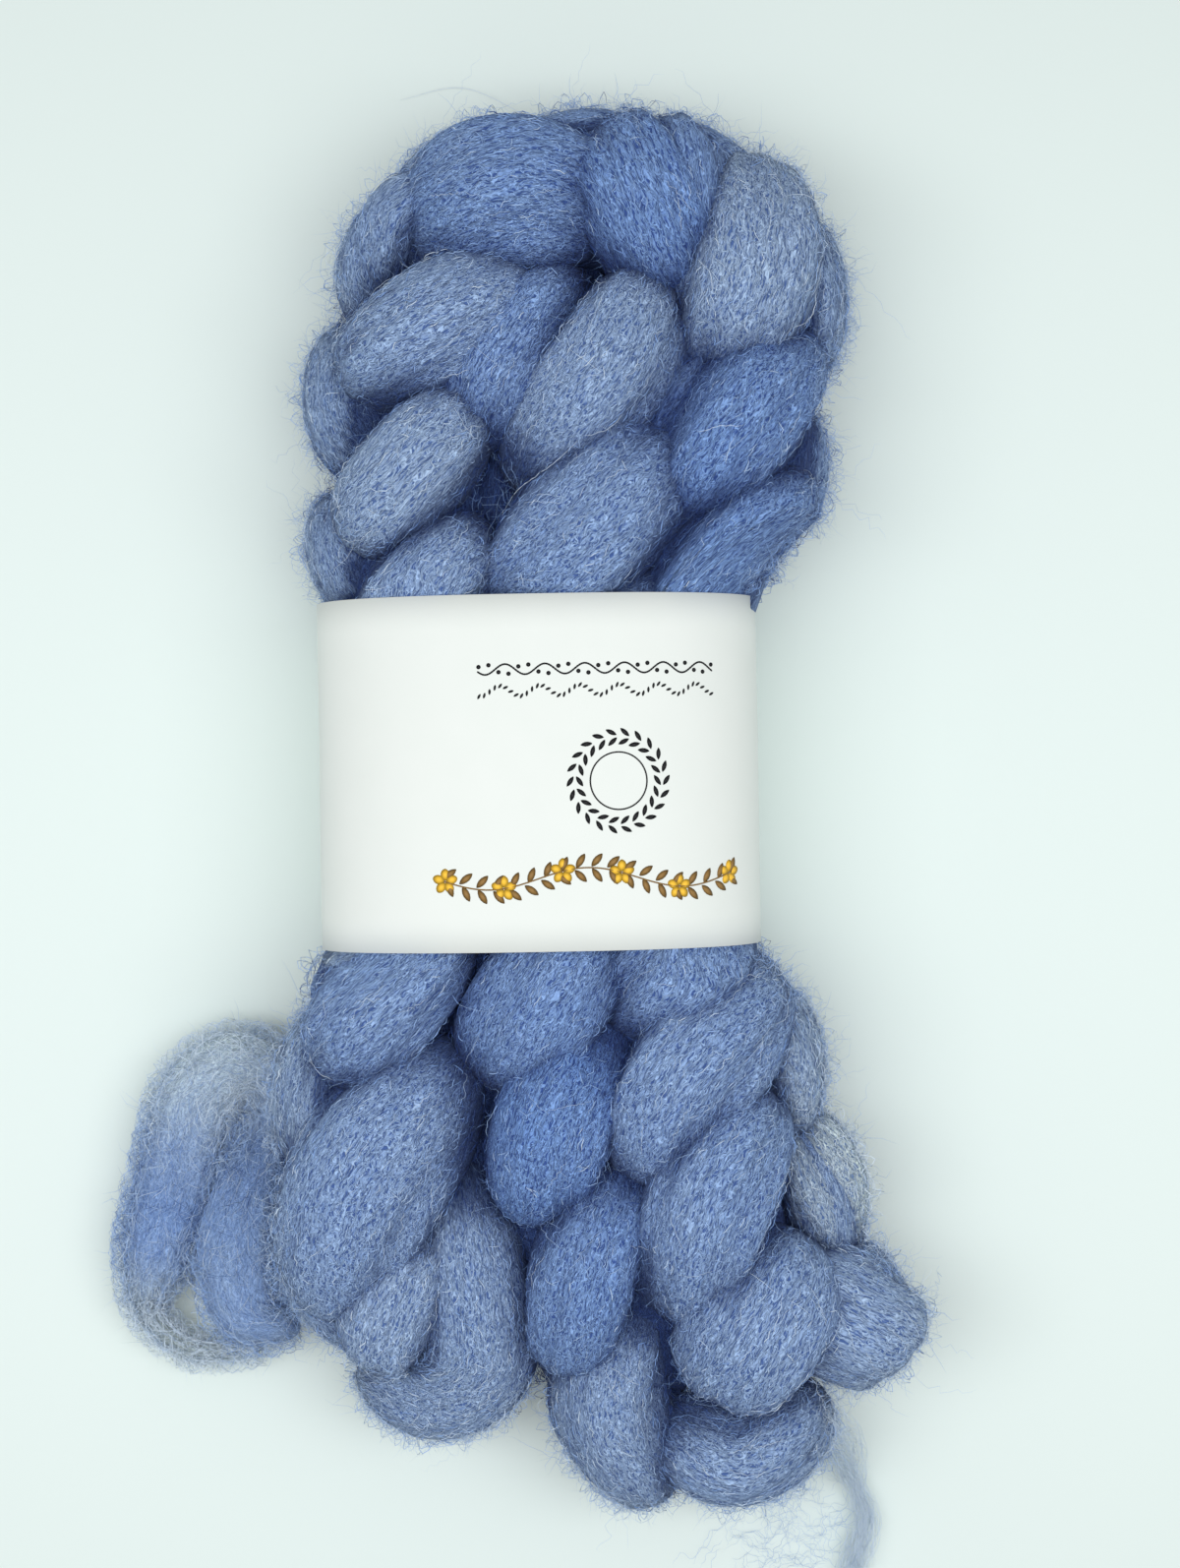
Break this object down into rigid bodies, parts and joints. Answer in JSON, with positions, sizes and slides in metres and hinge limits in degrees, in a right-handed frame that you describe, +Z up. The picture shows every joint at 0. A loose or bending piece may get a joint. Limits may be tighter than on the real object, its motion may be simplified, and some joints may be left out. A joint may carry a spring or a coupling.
{
  "type": "braided wool roving hank with paper band",
  "caption": "Braid of combed wool roving folded into plump chained runs, with a curled loose end and a paper band round its middle.",
  "frame": {"origin": "middle of the lying hank's footprint, on the surface that it lies on", "axes": "+Y along the hank towards its folded top, +Z up out of the surface, +X to the right as seen from above"},
  "size_m": [0.1888, 0.35, 0.061],
  "materials": {
    "wool": "combed wool top, matt, fuzzy, periwinkle blue",
    "wool_end": "combed wool top, loose and fluffy, periwinkle blue",
    "wool_wisp": "thin drawn-out wool fibre, pale periwinkle blue",
    "paper": "smooth white paper of 1 mm nominal wall, matt"
  },
  "bodies": {
    "root": {"braid": "wool", "loose_end": "wool_end", "wisp": "wool_wisp", "paper_band": "paper"}
  },
  "joints": []
}
